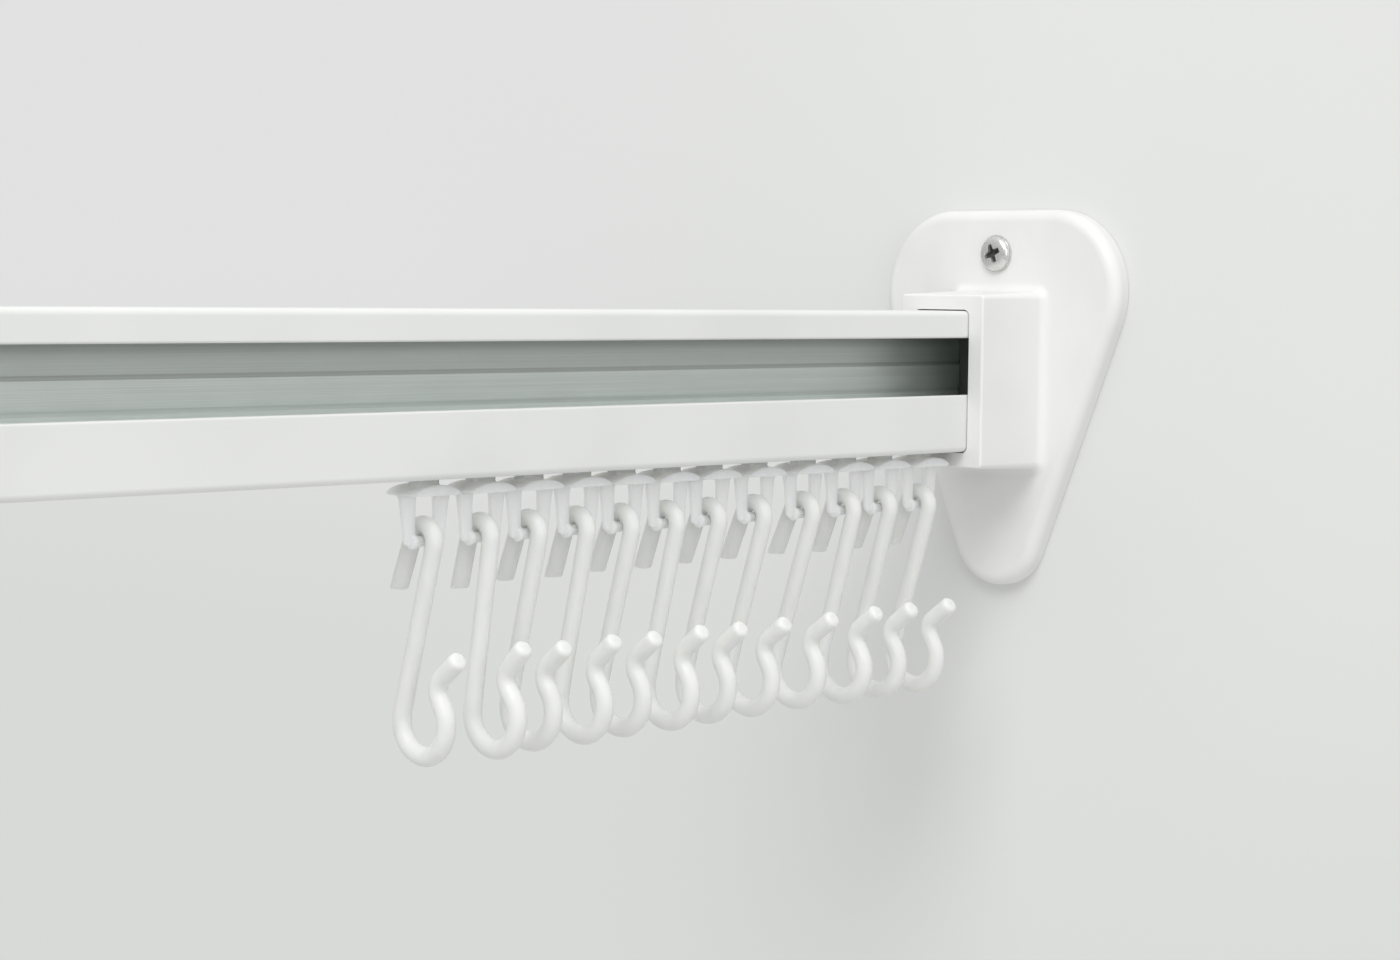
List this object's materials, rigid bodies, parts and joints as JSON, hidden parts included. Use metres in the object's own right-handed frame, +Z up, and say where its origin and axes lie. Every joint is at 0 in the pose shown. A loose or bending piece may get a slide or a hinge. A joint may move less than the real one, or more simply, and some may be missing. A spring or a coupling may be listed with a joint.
{
  "type": "curtain rail with wall brackets",
  "caption": "Slotted curtain rail held between two side-wall brackets, with sliding runners that each carry a swinging curtain hook.",
  "frame": {"origin": "on the right-hand wall, where the rail's centre line meets the back of the right bracket's plate", "axes": "+X along the rail towards the right-hand wall, +Z up, -Y the side with the long slot"},
  "size_m": [0.66, 0.0652, 0.1035],
  "materials": {
    "rail_white_paint": "satin white paint outside, bare drawn metal inside the channels",
    "bracket_white_plastic": "satin moulded white plastic",
    "end_stop_grey_plastic": "matt dark grey",
    "screw_bright_plating": "bright nickel plating",
    "runner_white_nylon": "natural white nylon, slightly translucent",
    "hook_white_nylon": "natural white nylon, slightly translucent"
  },
  "bodies": {
    "root": {"rail": "rail_white_paint", "bracket_right": "bracket_white_plastic", "bracket_left": "bracket_white_plastic", "end_stop_right": "end_stop_grey_plastic", "end_stop_left": "end_stop_grey_plastic", "upper_screw_right": "screw_bright_plating", "upper_screw_left": "screw_bright_plating", "lower_screw_right": "screw_bright_plating", "lower_screw_left": "screw_bright_plating"},
    "runner_01": {"runner_01": "runner_white_nylon"},
    "hook_01": {"hook_01": "hook_white_nylon"},
    "runner_02": {"runner_02": "runner_white_nylon"},
    "hook_02": {"hook_02": "hook_white_nylon"},
    "runner_03": {"runner_03": "runner_white_nylon"},
    "hook_03": {"hook_03": "hook_white_nylon"},
    "runner_04": {"runner_04": "runner_white_nylon"},
    "hook_04": {"hook_04": "hook_white_nylon"},
    "runner_05": {"runner_05": "runner_white_nylon"},
    "hook_05": {"hook_05": "hook_white_nylon"},
    "runner_06": {"runner_06": "runner_white_nylon"},
    "hook_06": {"hook_06": "hook_white_nylon"},
    "runner_07": {"runner_07": "runner_white_nylon"},
    "hook_07": {"hook_07": "hook_white_nylon"},
    "runner_08": {"runner_08": "runner_white_nylon"},
    "hook_08": {"hook_08": "hook_white_nylon"},
    "runner_09": {"runner_09": "runner_white_nylon"},
    "hook_09": {"hook_09": "hook_white_nylon"},
    "runner_10": {"runner_10": "runner_white_nylon"},
    "hook_10": {"hook_10": "hook_white_nylon"},
    "runner_11": {"runner_11": "runner_white_nylon"},
    "hook_11": {"hook_11": "hook_white_nylon"},
    "runner_12": {"runner_12": "runner_white_nylon"},
    "hook_12": {"hook_12": "hook_white_nylon"}
  },
  "joints": [
    {"name": "runner_01_slide", "type": "slide", "parent": "root", "child": "runner_01", "axis": [1, 0, 0], "range_m": [-0.033, 0.001]},
    {"name": "hook_01_swing", "type": "hinge", "parent": "runner_01", "child": "hook_01", "pos_m": [-0.0313, 0, -0.0263], "axis": [1, 0, 0], "range_deg": [-76.3, 73.7]},
    {"name": "runner_02_slide", "type": "slide", "parent": "runner_01", "child": "runner_02", "axis": [1, 0, 0], "range_m": [-0.033, 0.0013]},
    {"name": "hook_02_swing", "type": "hinge", "parent": "runner_02", "child": "hook_02", "pos_m": [-0.0441, 0, -0.0263], "axis": [1, 0, 0], "range_deg": [-75.8, 74.2]},
    {"name": "runner_03_slide", "type": "slide", "parent": "runner_02", "child": "runner_03", "axis": [1, 0, 0], "range_m": [-0.033, 0.0001]},
    {"name": "hook_03_swing", "type": "hinge", "parent": "runner_03", "child": "hook_03", "pos_m": [-0.0557, 0, -0.0263], "axis": [1, 0, 0], "range_deg": [-75, 75]},
    {"name": "runner_04_slide", "type": "slide", "parent": "runner_03", "child": "runner_04", "axis": [1, 0, 0], "range_m": [-0.033, 0.0012]},
    {"name": "hook_04_swing", "type": "hinge", "parent": "runner_04", "child": "hook_04", "pos_m": [-0.0684, 0, -0.0263], "axis": [1, 0, 0], "range_deg": [-77.5, 72.5]},
    {"name": "runner_05_slide", "type": "slide", "parent": "runner_04", "child": "runner_05", "axis": [1, 0, 0], "range_m": [-0.033, 0.003]},
    {"name": "hook_05_swing", "type": "hinge", "parent": "runner_05", "child": "hook_05", "pos_m": [-0.0829, 0, -0.0263], "axis": [1, 0, 0], "range_deg": [-76.7, 73.3]},
    {"name": "runner_06_slide", "type": "slide", "parent": "runner_05", "child": "runner_06", "axis": [1, 0, 0], "range_m": [-0.033, 0.0016]},
    {"name": "hook_06_swing", "type": "hinge", "parent": "runner_06", "child": "hook_06", "pos_m": [-0.096, 0, -0.0263], "axis": [1, 0, 0], "range_deg": [-75.9, 74.1]},
    {"name": "runner_07_slide", "type": "slide", "parent": "runner_06", "child": "runner_07", "axis": [1, 0, 0], "range_m": [-0.033, 0.0003]},
    {"name": "hook_07_swing", "type": "hinge", "parent": "runner_07", "child": "hook_07", "pos_m": [-0.1078, 0, -0.0263], "axis": [1, 0, 0], "range_deg": [-73.6, 76.4]},
    {"name": "runner_08_slide", "type": "slide", "parent": "runner_07", "child": "runner_08", "axis": [1, 0, 0], "range_m": [-0.033, 0.0008]},
    {"name": "hook_08_swing", "type": "hinge", "parent": "runner_08", "child": "hook_08", "pos_m": [-0.1201, 0, -0.0263], "axis": [1, 0, 0], "range_deg": [-75, 75]},
    {"name": "runner_09_slide", "type": "slide", "parent": "runner_08", "child": "runner_09", "axis": [1, 0, 0], "range_m": [-0.033, 0.0002]},
    {"name": "hook_09_swing", "type": "hinge", "parent": "runner_09", "child": "hook_09", "pos_m": [-0.1318, 0, -0.0263], "axis": [1, 0, 0], "range_deg": [-72.3, 77.7]},
    {"name": "runner_10_slide", "type": "slide", "parent": "runner_09", "child": "runner_10", "axis": [1, 0, 0], "range_m": [-0.033, 0.0007]},
    {"name": "hook_10_swing", "type": "hinge", "parent": "runner_10", "child": "hook_10", "pos_m": [-0.144, 0, -0.0263], "axis": [1, 0, 0], "range_deg": [-73.8, 76.2]},
    {"name": "runner_11_slide", "type": "slide", "parent": "runner_10", "child": "runner_11", "axis": [1, 0, 0], "range_m": [-0.033, 0.0004]},
    {"name": "hook_11_swing", "type": "hinge", "parent": "runner_11", "child": "hook_11", "pos_m": [-0.1559, 0, -0.0263], "axis": [1, 0, 0], "range_deg": [-68, 82]},
    {"name": "runner_12_slide", "type": "slide", "parent": "runner_11", "child": "runner_12", "axis": [1, 0, 0], "range_m": [-0.033, 0.0019]},
    {"name": "hook_12_swing", "type": "hinge", "parent": "runner_12", "child": "hook_12", "pos_m": [-0.1693, 0, -0.0263], "axis": [1, 0, 0], "range_deg": [-75, 75]}
  ]
}
